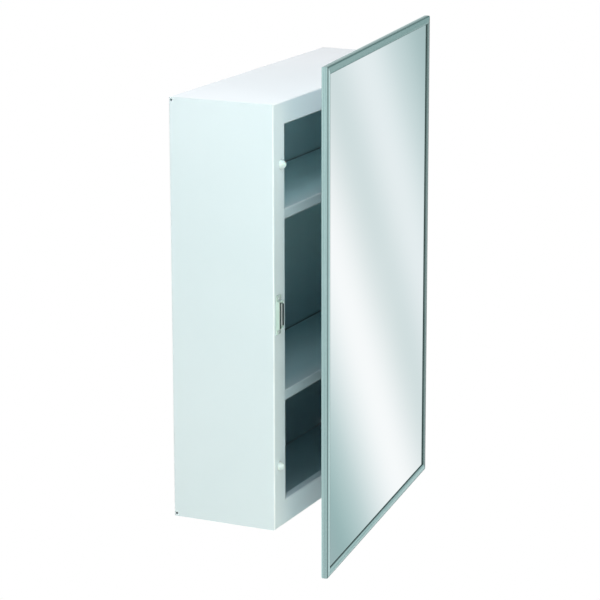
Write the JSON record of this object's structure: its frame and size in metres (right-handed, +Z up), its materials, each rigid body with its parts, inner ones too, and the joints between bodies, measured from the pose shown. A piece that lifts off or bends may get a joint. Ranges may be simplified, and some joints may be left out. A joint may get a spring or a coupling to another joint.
{
  "type": "medicine cabinet",
  "caption": "Surface-mounted medicine cabinet: a white steel body with lift-out shelves and a framed mirror door on a full-height hinge, held shut by a magnetic catch.",
  "frame": {"origin": "centre of the flat back of the body, on the surface of the wall", "axes": "+X to the right as seen from the front, +Y from the cabinet into the wall, +Z up"},
  "size_m": [0.4031, 0.189, 0.559],
  "materials": {
    "white_enamel": "smooth baked white enamel on sheet steel, satin gloss",
    "stainless_frame": "satin stainless steel, brushed along each length",
    "hinge_steel": "satin steel with a fine lengthwise grain",
    "zinc_plate": "bright zinc plating, slightly mottled",
    "rivet_steel": "turned steel heads, satin",
    "pole_steel": "dark oiled steel",
    "ferrite": "matt pressed ferrite, pale grey",
    "catch_plastic": "moulded nylon, off-white with a faint green tint, matt",
    "bumper_rubber": "white moulded rubber, smooth and slightly glossy",
    "mirror": "silvered float glass, clear and even",
    "hardboard": "pressed fibreboard, plain brown"
  },
  "bodies": {
    "cabinet": {"body_shell": "white_enamel", "face_frame": "white_enamel", "standard_front_left": "white_enamel", "standard_front_right": "white_enamel", "standard_rear_left": "white_enamel", "standard_rear_right": "white_enamel", "upper_shelf_clips": "zinc_plate", "lower_shelf_clips": "zinc_plate", "hinge_body_leaf": "hinge_steel", "hinge_pin": "hinge_steel", "body_leaf_rivets": "rivet_steel", "catch_body": "catch_plastic", "catch_magnet": "ferrite", "catch_pole_plates": "pole_steel", "catch_screws": "zinc_plate", "upper_bumper": "bumper_rubber", "lower_bumper": "bumper_rubber"},
    "door": {"hinge_door_leaf": "hinge_steel", "door_leaf_rivets": "rivet_steel", "frame_top": "stainless_frame", "frame_bottom": "stainless_frame", "frame_free_stile": "stainless_frame", "frame_hinge_stile": "stainless_frame", "mirror_glass": "mirror", "filler_board": "hardboard", "door_back_panel": "white_enamel", "strike_plate": "zinc_plate", "strike_rivets": "rivet_steel"},
    "upper_shelf": {"upper_shelf": "white_enamel"},
    "lower_shelf": {"lower_shelf": "white_enamel"}
  },
  "joints": [
    {"name": "door_hinge", "type": "hinge", "parent": "cabinet", "child": "door", "pos_m": [0.1975, -0.1265, 0], "axis": [0, 0, 1], "range_deg": [-7.5, 107.5]},
    {"name": "upper_shelf_lift", "type": "slide", "parent": "cabinet", "child": "upper_shelf", "axis": [0, 0, 1], "range_m": [0, 0.11]},
    {"name": "lower_shelf_lift", "type": "slide", "parent": "cabinet", "child": "lower_shelf", "axis": [0, 0, 1], "range_m": [0, 0.18]}
  ]
}
